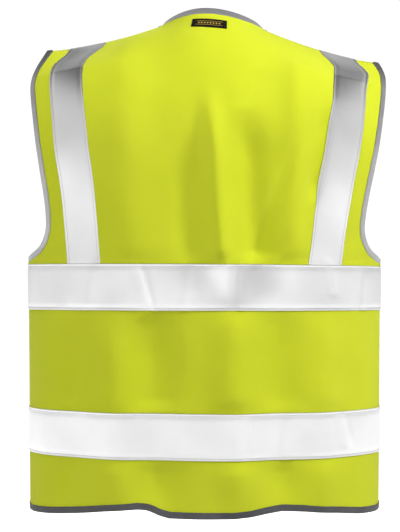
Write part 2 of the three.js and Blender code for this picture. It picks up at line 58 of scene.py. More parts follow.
# ---- sizes of the cut, the same as the part's, but that armholes and braces curve a little more at
# the shoulder, as worn cloth does; points are (level, distance from the centre) ----
CHEST_HALF_WIDTH = 0.241
HEM_HALF_WIDTH = 0.238
HALF_DEPTH = 0.130
YOKE_DROP = 0.180
YOKE_FLARE = 0.029
SHOULDER_TAPER = 0.08
NECK_HALF_WIDTH = 0.068
NECK_RISE = 0.014
NECK_ARCH = 0.75
NECK_BACK_DEPTH = 0.055
NECK_ROLL = math.radians(55)
SHOULDER_HALF_WIDTH = 0.228
SHOULDER_DROP = 0.041
SHOULDER_BOW = 1.5
V_NECK_DROP = 0.240
V_NECK_BOW = 0.85
UNDERARM_DROP = 0.321
ARMHOLE_BACK = [
    (-0.035, 0.2325), (-0.070, 0.2375), (-0.110, 0.2385), (-0.200, 0.221), (-0.275, 0.2095),
    (-0.305, 0.219),
]
ARMHOLE_FRONT = [(-0.055, 0.236), (-0.110, 0.231), (-0.200, 0.210), (-0.272, 0.199), (-0.305, 0.214)]
BRACE_WIDTH = 0.050
BRACE_CENTRE = [
    (0, 0.173), (-0.028, 0.178), (-0.045, 0.185), (-0.065, 0.1915), (-0.110, 0.1895), (-0.165, 0.181),
    (-0.230, 0.1695), (-0.329, 0.158),
]
BINDING_WIDTH = 0.0075
SEAM = 0.00002                  # half the gap between front and back at their seams
QUARTER = math.pi / 2

# ---- levels that the frame gives ----
HEM = -0.658
CHEST_BAND = (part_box("chest_band_back")[1].z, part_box("chest_band_back")[0].z)
WAIST_BAND = (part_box("waist_band_back")[1].z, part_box("waist_band_back")[0].z)
FRONT_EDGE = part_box("front_panel_left")[0].x

# ---- layers of cloth: distance of each face from the surface that the cloth lies on ----
KNIT = (0.2 * MM, 0.7 * MM)
BRACE = (0.8 * MM, 1.05 * MM)
BAND = (1.2 * MM, 1.5 * MM)
LABEL = (0.95 * MM, 1.5 * MM)
INNER_LABEL = (-0.6 * MM, -0.3 * MM)


# ================================================================ camera and light

SENSOR = 36
LENS = 90.61                    # focal length in mm, on a sensor SENSOR mm high
CAMERA_PLACE = (0, 1.845, -0.3624)
CAMERA_AIM = (0.0055, HALF_DEPTH, -0.3317)
AREA_LIGHTS = {                 # name: place, aim, size, power
    "key": ((-1.45, 0.78, 0.74), (0, 0.05, -0.20), (0.40, 0.40), 28),
    "top": ((0.30, 0.95, 1.15), (0, 0.1, -0.15), (0.6, 0.4), 13),
    "fill": ((1.8, 1.2, -0.1), (0, 0.0, -0.35), (1.0, 1.2), 8),
    "front": ((0.8, -2.2, 0.5), (0, 0, -0.3), (1.4, 1.4), 32),
}
ROOM_GREYS = [                  # greys against height: 0 straight down, 0.5 level, 1 straight up
    (0.0, 0.25), (0.26, 0.40), (0.38, 1.0), (0.44, 1.0), (0.50, 0.74), (0.58, 0.72), (0.80, 0.74),
    (0.86, 0.34), (0.90, 0.02),
]
ROOM_LIGHT = 0.44
ROOM_GLOSS = (0.78, 1.12)       # strength of the patches of the room as shiny things mirror them
ROOM_WHITE = 1.05               # strength of the plain white that the camera sees
FLOOR_LEVEL = -1.05
FLOOR_SIZE = 60.0
FLOOR_CLEAR = (0.9, 1.9)        # distances from the vest over which the floor fades to white


def new_object(name, data):
    made = bpy.data.objects.new(name, data)
    bpy.context.scene.collection.objects.link(made)
    return made


def point_at(thing, place, aim):
    thing.location = place
    thing.rotation_euler = (Vector(aim) - Vector(place)).to_track_quat("-Z", "Y").to_euler()


def make_camera():
    data = bpy.data.cameras.new("camera")
    data.sensor_width = SENSOR
    data.lens = LENS
    camera = new_object("camera", data)
    point_at(camera, CAMERA_PLACE, CAMERA_AIM)
    bpy.context.scene.camera = camera


def area_light(name, place, aim, size, power):
    data = bpy.data.lights.new(name, "AREA")
    data.shape = "RECTANGLE"
    data.size, data.size_y = size
    data.energy = power
    light = new_object(name, data)
    point_at(light, place, aim)
    light.visible_camera = False
    light.visible_glossy = False


def make_world():
    """A white room with a dark ceiling; what the camera sees of it is plain white."""
    world = bpy.data.worlds.new("studio")
    bpy.context.scene.world = world
    world.use_nodes = True
    world.node_tree.nodes.clear()
    s = Shader(world.node_tree)
    direction = s.node("ShaderNodeTexCoord").outputs["Generated"]
    split = s.node("ShaderNodeSeparateXYZ", {0: direction})
    ramp = s.node("ShaderNodeValToRGB", {0: s.spread(split.outputs["Z"], -1, 1)})
    stops = ramp.color_ramp.elements
    for place, _ in ROOM_GREYS[2:]:
        stops.new(place)
    for stop, (place, grey) in zip(stops, ROOM_GREYS):
        stop.position = place
        stop.color = (grey, grey, grey, 1)
    path = s.node("ShaderNodeLightPath").outputs
    shine = s.spread(s.noise(direction, 2.6, 1.0), 0.30, 0.70, *ROOM_GLOSS)
    strength = s.spread(path["Is Glossy Ray"], 0, 1, ROOM_LIGHT, shine)
    room = s.node("ShaderNodeBackground", {0: ramp.outputs[0], 1: strength}).outputs[0]
    seen = s.node("ShaderNodeBackground", {0: (1, 1, 1), 1: ROOM_WHITE}).outputs[0]
    both = s.node("ShaderNodeMixShader", {0: path["Is Camera Ray"], 1: room, 2: seen})
    s.node("ShaderNodeOutputWorld", {0: both.outputs[0]})


def make_floor():
    """Pale floor under the vest that fades into the white of the room."""
    bpy.ops.mesh.primitive_plane_add(size=FLOOR_SIZE, location=(0, 0, FLOOR_LEVEL))
    floor = bpy.context.object
    floor.name = "floor"
    paint, s, body = new_material("floor_paint")
    far = s.node("ShaderNodeVectorMath", {0: s.place()}, operation="LENGTH").outputs["Value"]
    path = s.node("ShaderNodeLightPath").outputs
    seen = s.math("MAXIMUM", path["Is Camera Ray"], path["Is Glossy Ray"])
    s.fill(body, {
        "Base Color": (0.80, 0.80, 0.80),
        "Roughness": 0.95,
        "Emission Color": (1, 1, 1),
        "Emission Strength": s.math("MULTIPLY", s.spread(far, *FLOOR_CLEAR), seen),
    })
    floor.data.materials.append(paint)


def make_studio():
    make_camera()
    make_world()
    for name, settings in AREA_LIGHTS.items():
        area_light(name, *settings)
    make_floor()
    bpy.context.scene.view_settings.view_transform = "Standard"


# ================================================================ node trees

class Shader:
    """A material, a world or a node group under construction."""

    def __init__(self, tree):
        self.tree = tree

    def put(self, socket, value):
        """Links a socket to another one or gives it a value; a colour may leave out its alpha."""
        if isinstance(value, bpy.types.NodeSocket):
            self.tree.links.new(value, socket)
        elif socket.type == "RGBA":
            socket.default_value = (*value[:3], 1)
        else:
            socket.default_value = value

    def fill(self, made, inputs):
        for key, value in inputs.items():
            self.put(made.inputs[key], value)
        return made

    def node(self, kind, inputs=None, **settings):
        made = self.tree.nodes.new(kind)
        for key, value in settings.items():
            setattr(made, key, value)
        return self.fill(made, inputs or {})

    def math(self, operation, a, b=0.0):
        return self.node("ShaderNodeMath", {0: a, 1: b}, operation=operation).outputs[0]

    def mix(self, factor, a, b):
        return self.node("ShaderNodeMix", {0: factor, 6: a, 7: b}, data_type="RGBA").outputs[2]

    def noise(self, place, scale, detail=2.0, rough=0.5):
        inputs = {"Vector": place, "Scale": scale, "Detail": detail, "Roughness": rough}
        return self.node("ShaderNodeTexNoise", inputs).outputs["Fac"]

    def spread(self, value, low, high, to_low=0.0, to_high=1.0):
        inputs = {0: value, 1: low, 2: high, 3: to_low, 4: to_high}
        return self.node("ShaderNodeMapRange", inputs).outputs[0]

    def bump(self, height, distance, strength):
        inputs = {"Height": height, "Distance": distance, "Strength": strength}
        return self.node("ShaderNodeBump", inputs).outputs[0]

    def place(self):
        return self.node("ShaderNodeTexCoord").outputs["Object"]

    def uv(self):
        """Distances across and along the cloth, in metres."""
        cloth = self.node("ShaderNodeUVMap", uv_map="cloth").outputs[0]
        split = self.node("ShaderNodeSeparateXYZ", {0: cloth})
        return split.outputs[0], split.outputs[1]

    def group(self, name, inputs):
        return self.node("ShaderNodeGroup", inputs, node_tree=GROUPS[name]).outputs

    def cloth(self, name, pitch):
        """Outputs of the weave or the knit group, laid along the cloth."""
        across, along = self.uv()
        return self.group(name, {"Across": across, "Along": along, "Pitch": pitch})

    def shade(self, scale):
        return self.group("shade", {"Vector": self.place(), "Scale": scale})


def open_tree(name, kind, inputs, outputs):
    """An empty node group. inputs is {name: (type, default)}, outputs {name: type}."""
    tree = bpy.data.node_groups.new(name, kind)
    for key, (socket_type, default) in inputs.items():
        socket = tree.interface.new_socket(key, in_out="INPUT", socket_type=f"NodeSocket{socket_type}")
        if default is not None:
            socket.default_value = default
    for key, socket_type in outputs.items():
        tree.interface.new_socket(key, in_out="OUTPUT", socket_type=f"NodeSocket{socket_type}")
    s = Shader(tree)
    return s, s.node("NodeGroupInput").outputs, s.node("NodeGroupOutput")


CLOTH_INPUTS = {"Across": ("Float", 0.0), "Along": ("Float", 0.0), "Pitch": ("Float", 0.001)}


def make_weave_group():
    """Threads crossing each other: height and a mask that is 1 where one set of threads is on top."""
    outputs = {"Height": "Float", "Crown": "Float"}
    s, given, out = open_tree("woven_threads", "ShaderNodeTree", CLOTH_INPUTS, outputs)
    turns = [s.math("DIVIDE", given[key], given["Pitch"]) for key in ("Across", "Along")]
    product = s.math("MULTIPLY", *(s.math("SINE", s.math("MULTIPLY", t, math.pi)) for t in turns))
    s.fill(out, {"Height": s.math("ABSOLUTE", product), "Crown": s.math("GREATER_THAN", product, 0.0)})
    return s.tree


def make_knit_group():
    """Warp knit: fine ribs along the cloth with a zigzag between them."""
    outputs = {"Height": "Float", "Gap": "Float"}
    s, given, out = open_tree("warp_knit", "ShaderNodeTree", CLOTH_INPUTS, outputs)
    across, along = (s.math("DIVIDE", given[key], given["Pitch"]) for key in ("Across", "Along"))
    zigzag = s.math("PINGPONG", s.math("MULTIPLY", along, 0.8), 0.5)
    shifted = s.math("ADD", across, s.math("MULTIPLY", zigzag, 0.5))
    rib = s.math("ABSOLUTE", s.math("SINE", s.math("MULTIPLY", shifted, math.pi)))
    loop = s.math("ABSOLUTE", s.math("SINE", s.math("MULTIPLY", along, math.pi * 0.8)))
    height = s.math("MULTIPLY", s.math("POWER", rib, 0.6), s.spread(loop, 0, 1, 0.55, 1.0))
    # Gap is 1 in the low gaps between the loops; the yellow knit darkens its colour there as painted
    # shade
    s.fill(out, {"Height": height, "Gap": s.spread(height, 0.12, 0.4, 1.0, 0.0)})
    return s.tree


def make_shade_group():
    """Slow changes of shade over the cloth, from handling and folding, and a fine grain."""
    inputs = {"Vector": ("Vector", None), "Scale": ("Float", 8.0)}
    outputs = {"Shade": "Float", "Fine": "Float"}
    s, given, out = open_tree("cloth_shade", "ShaderNodeTree", inputs, outputs)
    slow = s.noise(given["Vector"], given["Scale"], 3.0, 0.55)
    fine = s.noise(given["Vector"], s.math("MULTIPLY", given["Scale"], 30.0), 2.0, 0.6)
    s.fill(out, {"Shade": s.spread(slow, 0.3, 0.7), "Fine": fine})
    return s.tree


def new_material(name):
    material = bpy.data.materials.new(name)
    material.use_nodes = True
    return material, Shader(material.node_tree), material.node_tree.nodes["Principled BSDF"]


def knit_material():
    """Fluorescent yellow knit: matt, with a faint painted glow that stands in for the brightness of its
    dye.
    """
    material, s, body = new_material("yellow_knit")
    knit = s.cloth("knit", 0.0011)
    shade = s.shade(7.0)
    bright = s.mix(shade["Shade"], (0.575, 0.640, 0.022), (0.625, 0.685, 0.030))
    # painted shade: the colour is darkened in the low gaps between the knit's loops
    painted_gap_shade = s.math("MULTIPLY", knit["Gap"], 0.35)
    s.fill(body, {
        "Base Color": s.mix(painted_gap_shade, bright, (0.40, 0.47, 0.010)),
        "Roughness": s.spread(shade["Fine"], 0, 1, 0.78, 0.92),
        "Sheen Weight": 0.25,
        "Sheen Roughness": 0.45,
        "Sheen Tint": (0.9, 1.0, 0.35),
        "Specular IOR Level": 0.25,
        # painted glow: a small constant emission that brightens the yellow whatever light falls on it
        "Emission Color": (0.66, 0.74, 0.0),
        "Emission Strength": 0.04,
        "Normal": s.bump(knit["Height"], 0.00018, 0.8),
    })
    return material


def tape_material():
    """Silver reflective tape: a satin of glass beads over a fine woven backing."""
    material, s, body = new_material("reflective_tape")
    weave = s.cloth("weave", 0.0007)
    shade = s.shade(16.0)
    colour = s.mix(shade["Shade"], (0.84, 0.84, 0.845), (0.90, 0.90, 0.905))
    beads = s.math("MULTIPLY", shade["Fine"], 0.5)
    s.fill(body, {
        "Base Color": s.mix(s.math("MULTIPLY", weave["Crown"], 0.10), colour, (0.62, 0.62, 0.63)),
        "Metallic": 0.90,
        "Roughness": s.spread(shade["Fine"], 0, 1, 0.26, 0.36),
        "Normal": s.bump(s.math("ADD", weave["Height"], beads), 0.00005, 0.6),
    })
    return material


def woven_material(name, low, high, pitch=0.0006, rough=(0.6, 0.8), metal=0.0, sheen=0.2):
    """Plain woven ribbon between two shades."""
    material, s, body = new_material(name)
    weave = s.cloth("weave", pitch)
    shade = s.shade(30.0)
    colour = s.mix(shade["Shade"], low, high)
    # painted shade: the colour is darkened in the hollows between the threads
    painted_weave_shade = s.math("MULTIPLY", s.spread(weave["Height"], 0.0, 0.5, 1.0, 0.0), 0.6)
    s.fill(body, {
        "Base Color": s.mix(painted_weave_shade, colour, tuple(0.6 * c for c in low)),
        "Roughness": s.spread(shade["Fine"], 0, 1, *rough),
        "Metallic": metal,
        "Sheen Weight": sheen,
        "Sheen Roughness": 0.4,
        "Normal": s.bump(weave["Height"], 0.00012, 0.8),
    })
    return material


LOZENGE_PITCH = 0.0042
LOZENGE_ROW = 0.0168            # half the length of the row
GOLD_LINE = 0.0195              # half the length of each fine line
GOLD_LINE_HEIGHT = 0.0036       # distance of each fine line from the middle
GOLD_LINE_THICKNESS = 0.0005


def label_material():
    """Black woven label with a plain gold ornament: a row of lozenges between two fine lines."""
    material, s, body = new_material("neck_label")
    across, along = s.uv()
    weave = s.group("weave", {"Across": across, "Along": along, "Pitch": 0.0004})
    side, high = s.math("ABSOLUTE", across), s.math("ABSOLUTE", along)
    x = s.math("SUBTRACT", s.math("FRACT", s.math("DIVIDE", across, LOZENGE_PITCH)), 0.5)
    y = s.math("DIVIDE", along, LOZENGE_PITCH)
    lozenge = s.math("LESS_THAN", s.math("ADD", s.math("ABSOLUTE", x), s.math("ABSOLUTE", y)), 0.36)
    row = s.math("MULTIPLY", lozenge, s.math("LESS_THAN", side, LOZENGE_ROW))
    from_line = s.math("ABSOLUTE", s.math("SUBTRACT", high, GOLD_LINE_HEIGHT))
    near_line = s.math("LESS_THAN", from_line, GOLD_LINE_THICKNESS / 2)
    line = s.math("MULTIPLY", near_line, s.math("LESS_THAN", side, GOLD_LINE))
    gold = s.math("MAXIMUM", row, line)
    # painted shade: the hollows of the weave are a darker black than its raised threads
    black = s.mix(weave["Height"], (0.003, 0.003, 0.003), (0.010, 0.009, 0.008))
    s.fill(body, {
        "Base Color": s.mix(gold, black, (0.62, 0.42, 0.08)),
        "Specular IOR Level": 0.2,
        "Roughness": s.spread(gold, 0, 1, 0.62, 0.40),
        "Normal": s.bump(s.math("ADD", weave["Height"], gold), 0.00010, 0.8),
    })
    return material


def metal_material():
    """Gunmetal plating on a die casting, brighter in patches."""
    material, s, body = new_material("zip_metal")
    shade = s.shade(150.0)
    s.fill(body, {
        "Base Color": s.mix(shade["Shade"], (0.22, 0.225, 0.24), (0.36, 0.365, 0.38)),
        "Metallic": 1.0,
        "Roughness": s.spread(shade["Fine"], 0, 1, 0.22, 0.42),
    })
    return material


def plastic_material():
    material, s, body = new_material("zip_plastic")
    shade = s.shade(120.0)
    s.fill(body, {
        "Base Color": s.mix(shade["Shade"], (0.030, 0.030, 0.034), (0.055, 0.055, 0.06)),
        "Roughness": s.spread(shade["Fine"], 0, 1, 0.32, 0.5),
        "Normal": s.bump(shade["Fine"], 0.00004, 0.5),
    })
    return material


def thread_material(name, colour):
    material, s, body = new_material(name)
    fine = s.noise(s.place(), 2500.0, 1.0)
    s.fill(body, {
        "Base Color": s.mix(fine, tuple(0.7 * c for c in colour), colour),
        "Roughness": 0.6,
        "Sheen Weight": 0.3,
    })
    return material


# ================================================================ the draped surface

def smooth_through(points):
    """Smooth curve through (level, value) points, levels falling. It takes one level or many."""
    levels, values = np.array(points, float).T
    last = len(points) - 1
    before = np.maximum(np.arange(last + 1) - 1, 0)
    after = np.minimum(np.arange(last + 1) + 1, last)
    slopes = (values[after] - values[before]) / (levels[after] - levels[before])

    def value(level):
        i = np.clip(np.searchsorted(-levels, -np.asarray(level, float), "left") - 1, 0, last - 1)
        h = levels[i + 1] - levels[i]
        s = (level - levels[i]) / h
        return (
            (1 + 2 * s) * (1 - s) ** 2 * values[i] + s * (1 - s) ** 2 * h * slopes[i]
            + s * s * (3 - 2 * s) * values[i + 1] + s * s * (s - 1) * h * slopes[i + 1]
        )

    return value


def rise(x, low, high):
    """0 below low, 1 above high, smooth between."""
    t = np.clip((x - low) / (high - low), 0, 1)
    return t * t * (3 - 2 * t)


def unit(vectors):
    return vectors / np.linalg.norm(vectors, axis=-1, keepdims=True)


def armhole_line(points):
    return smooth_through([(0, SHOULDER_HALF_WIDTH), *points, (-UNDERARM_DROP, CHEST_HALF_WIDTH)])


ARMHOLE = {1: armhole_line(ARMHOLE_BACK), -1: armhole_line(ARMHOLE_FRONT)}
brace_centre = smooth_through(BRACE_CENTRE)


def roll_at(level):
    return np.maximum(0, (level + YOKE_DROP) / YOKE_DROP)


def full_half_width(level):
    below = np.clip((-UNDERARM_DROP - level) / (-UNDERARM_DROP - HEM), 0, 1)
    flare = YOKE_FLARE * rise(level, -UNDERARM_DROP, -YOKE_DROP)
    taper = SHOULDER_TAPER * np.sin(QUARTER * roll_at(level)) ** 2
    straight = CHEST_HALF_WIDTH + (HEM_HALF_WIDTH - CHEST_HALF_WIDTH) * below
    return (straight + flare) * (1 - taper)


def side_edge(facing, level):
    arm = ARMHOLE[facing](np.maximum(level, -UNDERARM_DROP))
    return np.where(level <= -UNDERARM_DROP, full_half_width(level), arm)


def front_edge(level):
    s = np.minimum(-level / V_NECK_DROP, 1)
    return FRONT_EDGE + (NECK_HALF_WIDTH - FRONT_EDGE) * (1 - s) ** V_NECK_BOW


def shoulder_height(x):
    s = np.clip((SHOULDER_HALF_WIDTH - x) / (SHOULDER_HALF_WIDTH - NECK_HALF_WIDTH), 0, 1)
    return -SHOULDER_DROP * (1 - s ** SHOULDER_BOW)


def cloth_point(facing, x, level):
    """Places of the back (facing 1) or front (facing -1) at distances x from the centre."""
    wide = full_half_width(level)
    side = np.abs(x)
    sine = np.minimum(side / wide, 1)
    deep = HALF_DEPTH * np.sqrt(1 - sine * sine)
    top = sine * full_half_width(0.0)
    inside = np.maximum(0, 1 - (top / NECK_HALF_WIDTH) ** 2)
    arch = inside ** NECK_ARCH if facing > 0 else np.zeros_like(inside)
    height = shoulder_height(top) + NECK_RISE * arch
    end_roll = QUARTER - arch * (QUARTER - NECK_ROLL)
    roll = end_roll * roll_at(level)
    forward = (np.cos(roll) - np.cos(end_roll)) / (1 - np.cos(end_roll))
    end_depth = NECK_BACK_DEPTH * arch
    y = end_depth + (deep - end_depth) * forward
    z = -YOKE_DROP + (height + YOKE_DROP) * np.sin(roll) / np.sin(end_roll)
    low = level <= -YOKE_DROP
    y = np.where(low, deep, y)
    z = np.where(low, level, z)
    return np.stack([x, facing * (y + SEAM), z], -1)


# ---- folds of the hanging cloth: (from x, from z, to x, to z, width, height) ----
BACK_FOLDS = [
    (-0.001, -0.105, -0.023, -0.345, 0.014, 0.0080),
    (-0.050, -0.140, -0.070, -0.345, 0.021, -0.0100),
    (-0.006, -0.125, -0.026, -0.345, 0.0075, 0.0032),
    (-0.120, -0.150, -0.062, -0.330, 0.010, -0.0030),
    (-0.116, -0.050, -0.112, -0.330, 0.018, 0.0070),
    (-0.158, -0.120, -0.138, -0.235, 0.010, -0.0050),
    (0.030, -0.200, 0.014, -0.345, 0.015, -0.0035),
    (0.104, -0.080, 0.098, -0.330, 0.026, 0.0035),
    (-0.075, -0.070, -0.046, -0.120, 0.014, -0.0030),
    (0.064, -0.380, 0.058, -0.650, 0.034, -0.0085),
    (-0.034, -0.370, -0.044, -0.640, 0.026, 0.0080),
    (-0.098, -0.385, -0.100, -0.650, 0.024, -0.0060),
    (0.118, -0.385, 0.108, -0.640, 0.024, 0.0050),
    (-0.158, -0.395, -0.150, -0.650, 0.022, 0.0050),
    (0.172, -0.395, 0.176, -0.640, 0.020, -0.0045),
]
FRONT_FOLDS = [
    (0.105, -0.045, 0.060, -0.300, 0.018, 0.0045),
    (0.075, -0.080, 0.040, -0.320, 0.014, -0.0035),
    (0.150, -0.100, 0.120, -0.320, 0.020, -0.0030),
    (0.060, -0.390, 0.062, -0.640, 0.024, 0.0045),
    (0.110, -0.390, 0.112, -0.640, 0.020, -0.0040),
    (0.165, -0.390, 0.160, -0.640, 0.022, 0.0030),
]


def fold(x, z, line):
    """Height of one soft fold, fading in and out at its ends."""
    x0, z0, x1, z1, width, height = line
    t = (z0 - z) / (z0 - z1)
    middle = x0 + (x1 - x0) * t
    ends = rise(t, -0.12, 0.25) * (1 - rise(t, 0.85, 1.15))
    return height * ends * np.exp(-(((x - middle) / width) ** 2))


FOLD_STRENGTH = 1.35
RIPPLE = 0.0011                 # height of the slow waves all over the cloth
BAND_HOLD = 0.45                # share of the folds that the stiff bands take out
SLACK = 0.0012                  # how far the cloth sinks in between the bands


def fold_height(facing, x, z, y):
    """How far the folds move the cloth outwards."""
    lines = BACK_FOLDS if facing > 0 else FRONT_FOLDS
    across = x if facing > 0 else np.abs(x) + 0.004 * np.sign(x)
    height = sum(fold(across, z, line) for line in lines)
    slow = (
        np.sin(34 * x + 5 * z + 0.6) * np.sin(17 * z - 9 * x + 1.1)
        + 0.6 * np.sin(71 * x - 23 * z + 2.0) * np.sin(41 * z + 13 * x)
    )
    height = FOLD_STRENGTH * height + RIPPLE * slow
    for top, bottom in (CHEST_BAND, WAIST_BAND):
        held = rise(z, bottom - 0.02, bottom) * (1 - rise(z, top, top + 0.02))
        height = height * (1 - BAND_HOLD * held)
    between = np.clip((CHEST_BAND[1] - z) / (CHEST_BAND[1] - WAIST_BAND[0]), 0, 1)
    height = height - SLACK * np.sin(math.pi * between)
    if facing < 0:
        height = height * rise(np.abs(x) - front_edge(z), 0.004, 0.034)
    return height * rise(np.abs(y), 0.002, 0.045)


# ---- how the shoulders sit: sideways shift of the back against height, z rising ----
LEAN = [(-0.33, 0), (-0.268, -0.0013), (-0.194, -0.0034), (-0.140, -0.0047)]
SHOULDER_TWIST = -0.0070        # further shift of the cloth that lies over the top of the shoulders
SHOULDER_TILT = 0.020           # slope of the back across, the wearer's right side lower
SHOULDER_TOP_TILT = 0.018


def lean(points):
    """The shoulders sit askew, as if the wearer stood easy; the front of the vest hangs straight."""
    x, y, z = points[..., 0], points[..., 1], points[..., 2]
    levels, shifts = np.array(LEAN).T
    over_top = (1 - rise(y, 0.02, 0.09)) * rise(z, -0.10, -0.045)
    back = rise(y, -0.10, 0.0)
    tilt = SHOULDER_TILT * rise(z, -0.45, -0.12) + SHOULDER_TOP_TILT * rise(z, -0.13, -0.03)
    moved = points.copy()
    moved[..., 0] += back * (np.interp(z, levels, shifts) + SHOULDER_TWIST * over_top)
    moved[..., 2] += back * tilt * x
    return moved


# ---- lift of the hem of the back against x ----
HEM_LIFT = [
    (-0.240, -0.002), (-0.205, 0.001), (-0.175, 0.0055), (-0.130, 0.0105), (-0.100, 0.0120),
    (-0.080, 0.0095), (-0.060, 0.0060), (-0.038, 0.0040), (0.000, 0.0036), (0.045, 0.0036),
    (0.058, 0.007), (0.072, 0.0135), (0.085, 0.0148), (0.130, 0.0105), (0.170, 0.0050), (0.205, 0.001),
    (0.240, -0.002),
]


def hem_wave(points):
    """The hem dips in the middle of the back, with a step where the cloth is caught."""
    x, y, z = points[..., 0], points[..., 1], points[..., 2]
    places, lifts = np.array(HEM_LIFT).T
    lift = np.interp(x, places, lifts) * rise(y, 0.0, 0.04)
    front = 0.005 * np.sin(26 * np.abs(x) + 0.8) * rise(-y, 0.0, 0.06) * rise(np.abs(x), 0.03, 0.09)
    moved = points.copy()
    moved[..., 2] += (lift + front) * (1 - rise(z, HEM + 0.004, WAIST_BAND[1] - 0.004))
    return moved


def surface_normals(points):
    """Unit normals of a grid of points, away from the wearer."""
    down = np.gradient(points, axis=0)
    across = np.gradient(points, axis=1)
    normals = np.cross(down, across)
    return normals / np.maximum(np.linalg.norm(normals, axis=-1, keepdims=True), 1e-12)


YOKE_STEP = 0.004
BODY_STEP = 0.004
UNDERARM_ROWS = 16
UNDERARM_CURVE = 0.030
NECK_STEPS = 18
BACK_STEPS = 44
FRONT_STEPS = 56


def grid_levels():
    yoke = np.arange(0, UNDERARM_DROP - UNDERARM_CURVE, YOKE_STEP)
    crowd = UNDERARM_CURVE * (np.arange(UNDERARM_ROWS, -1, -1) / UNDERARM_ROWS) ** 2
    body = np.linspace(-UNDERARM_DROP, HEM, int(round((-UNDERARM_DROP - HEM) / BODY_STEP)) + 1)
    return np.concatenate([-yoke, -UNDERARM_DROP + crowd, body[1:]])


LEVELS = grid_levels()


def row_at(level):
    return np.interp(-level, -LEVELS, np.arange(len(LEVELS)))


def steps_between(level, start, end, count):
    """Distances from the centre at even steps round the body, without the first."""
    wide = full_half_width(level)
    a = math.asin(min(start / wide, 1))
    b = math.asin(min(end / wide, 1))
    return wide * np.sin(a + (b - a) * np.arange(1, count + 1) / count)


def columns_at(facing, level):
    edge = float(side_edge(facing, level))
    if facing < 0:
        start = float(front_edge(level))
        return np.concatenate([[start], steps_between(level, start, edge, FRONT_STEPS)])
    k = np.arange(NECK_STEPS + 1) / NECK_STEPS
    crowd = rise(level, -0.07, 0.0)
    neck = NECK_HALF_WIDTH * ((1 - crowd) * k + crowd * np.sin(QUARTER * k))
    half = np.concatenate([neck, steps_between(level, NECK_HALF_WIDTH, edge, BACK_STEPS)])
    return np.concatenate([-half[:0:-1], half])


class Drape:
    """The surface that one side of the vest lies on: a fine grid that every layer is laid on."""

    def __init__(self, facing, side=1):
        self.facing, self.side = facing, side
        self.x = np.array([columns_at(facing, level) for level in LEVELS])
        if side < 0:
            self.x = -self.x[:, ::-1]
        levels = np.repeat(LEVELS[:, None], self.x.shape[1], 1)
        points = flatten_shoulders(cloth_point(facing, self.x, levels))
        if facing > 0:
            points = ease_neck(points)
        height = fold_height(facing, points[..., 0], points[..., 2], points[..., 1])
        points = points + self.outward(points) * height[..., None]
        self.points = hem_wave(lean(points))
        self.normals = self.outward(self.points)
        self.rows, self.columns = self.x.shape
        self.across, self.along = self.measure()

    def outward(self, points):
        normals = surface_normals(points)
        normals = normals * np.sign(np.sum(normals[..., 1] * self.facing))
        seam = np.abs(points[..., 1]) <= SEAM * 1.5
        normals[seam, 1] = 0
        return unit(normals)

    def measure(self):
        """Distance of each point from the centre line and from the top row, along the cloth."""
        step = np.linalg.norm(np.diff(self.points, axis=1), axis=-1)
        across = np.concatenate([np.zeros((self.rows, 1)), np.cumsum(step, 1)], 1)
        middle = across[:, self.columns // 2][:, None] if self.facing > 0 else across[:, :1]
        drop = np.linalg.norm(np.diff(self.points, axis=0), axis=-1)
        along = np.concatenate([np.zeros((1, self.columns)), np.cumsum(drop, 0)], 0)
        return across - middle, -along

    def grid_place(self, x, level):
        """Row and column, with fractions, of points given by distance from the centre and level."""
        row = row_at(level)
        low = np.clip(row.astype(int), 0, self.rows - 2)
        share = (row - low)[..., None]
        lines = self.x[low] * (1 - share) + self.x[low + 1] * share
        flat = lines.reshape(-1, self.columns)
        wanted = np.asarray(x, float).reshape(-1)
        count = np.arange(self.columns)
        column = np.array([np.interp(w, line, count) for w, line in zip(wanted, flat)])
        return row, column.reshape(np.shape(x))

    def sample(self, values, row, column):
        """Values of the grid at rows and columns with fractions."""
        i = np.clip(row.astype(int), 0, self.rows - 2)
        j = np.clip(column.astype(int), 0, self.columns - 2)
        a, b = (row - i)[..., None], (column - j)[..., None]
        return (
            values[i, j] * (1 - a) * (1 - b) + values[i + 1, j] * a * (1 - b)
            + values[i, j + 1] * (1 - a) * b + values[i + 1, j + 1] * a * b
        )

    def lay(self, row, column, offset):
        """Points above the surface by offset, at rows and columns of the grid."""
        row, column = np.broadcast_arrays(np.asarray(row, float), np.asarray(column, float))
        points = self.sample(self.points, row, column)
        normals = unit(self.sample(self.normals, row, column))
        return points + normals * np.asarray(offset)[..., None]

    def two_faces(self, row, column, layer, raised=0.0):
        """Outer and inner points of a layer of cloth."""
        return (self.lay(row, column, layer[k] + raised) for k in (1, 0))


SHOULDER_BEND = -0.085          # level at which the cloth bends over the back of the shoulder
SHOULDER_FLAT = 0.9             # share of the way to a straight line
FLAT_FROM = (0.085, 0.150)      # distances from the centre over which the flattening sets in


def flatten_shoulders(points):
    """Pulls the top of each shoulder towards a straight line from its bend to the seam."""
    last = int(np.searchsorted(-LEVELS, -SHOULDER_BEND))
    top = points[: last + 1]
    length = np.cumsum(np.linalg.norm(np.diff(top, axis=0), axis=-1), axis=0)
    share = np.concatenate([np.zeros((1, top.shape[1])), length])[..., None]
    share = share / share[-1]
    straight = top[:1] + (top[-1:] - top[:1]) * share
    straight[..., 0] = top[..., 0]
    amount = SHOULDER_FLAT * rise(np.abs(top[..., :1]), *FLAT_FROM)
    points[: last + 1] = top + (straight - top) * amount
    return points


EASE_ROUNDS = 60


def ease_neck(points):
    """Rounds the cloth between the neck and the shoulders by averaging it with its neighbours."""
    x, z = points[..., 0], points[..., 2]
    amount = rise(z, -0.13, -0.06) * (1 - rise(np.abs(x), 0.085, 0.115))
    amount = amount[1:-1, 1:-1, None]
    middle = points[1:-1, 1:-1]
    for _ in range(EASE_ROUNDS):
        around = (points[:-2, 1:-1] + points[2:, 1:-1] + points[1:-1, :-2] + points[1:-1, 2:]) / 4
        middle += (around - middle) * amount
    return points


# ================================================================ meshes

